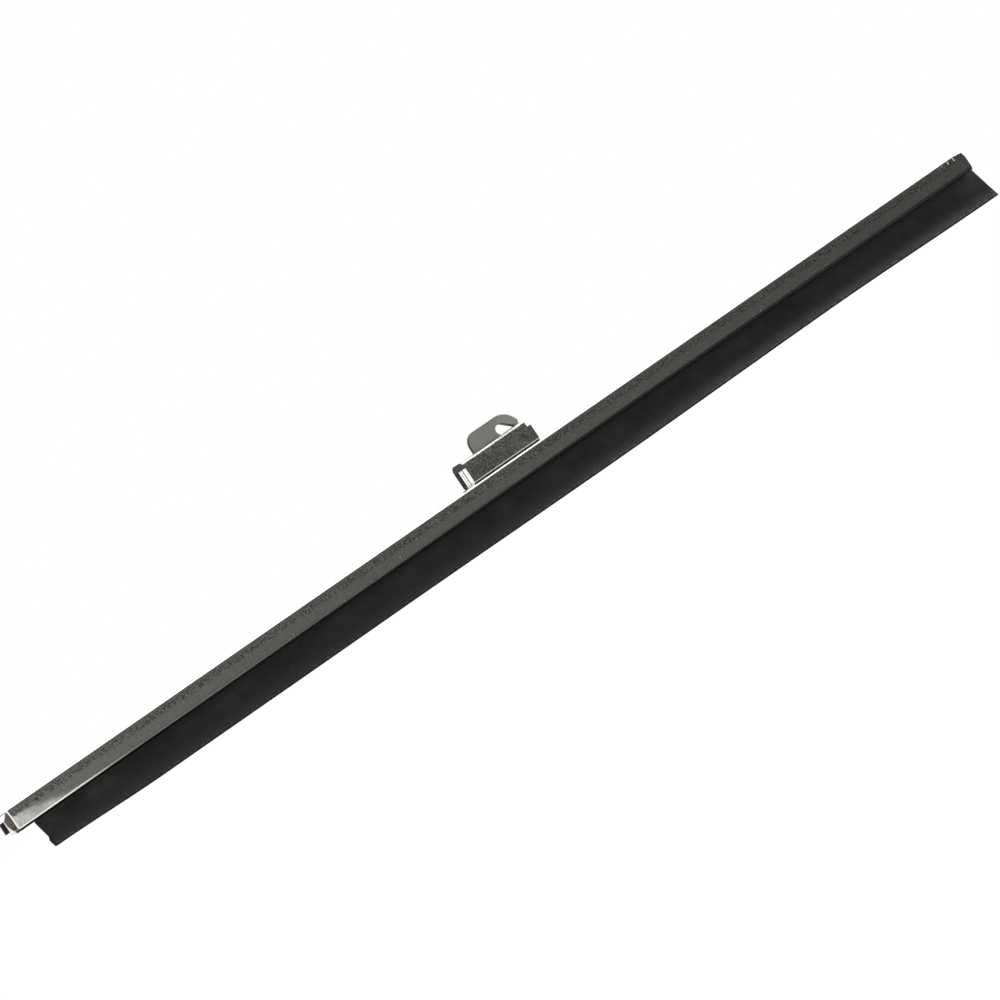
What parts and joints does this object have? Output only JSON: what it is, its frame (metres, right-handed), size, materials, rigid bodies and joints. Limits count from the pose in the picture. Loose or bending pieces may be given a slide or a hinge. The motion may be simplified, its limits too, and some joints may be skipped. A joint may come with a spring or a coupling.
{
  "type": "wiper blade",
  "caption": "Rigid wiper blade: a folded steel channel grips a black rubber strip, and a hooked saddle on its back takes the wiper arm's pin.",
  "frame": {"origin": "middle of the arm pin's seat in the hook plate", "axes": "+X along the blade towards the end that the hook opens to, +Y along the arm pin, +Z from the glass towards the arm"},
  "size_m": [0.281, 0.0067, 0.0217],
  "materials": {
    "channel_steel": "bright rolled sheet with fine mottling",
    "saddle_steel": "bright rolled sheet with fine mottling",
    "plate_steel": "satin",
    "black_rubber": "smooth moulded rubber with a soft sheen"
  },
  "bodies": {
    "root": {"channel": "channel_steel", "wiper_rubber": "black_rubber", "saddle": "saddle_steel", "hook_plate": "plate_steel", "backing_plate": "plate_steel"}
  },
  "joints": []
}
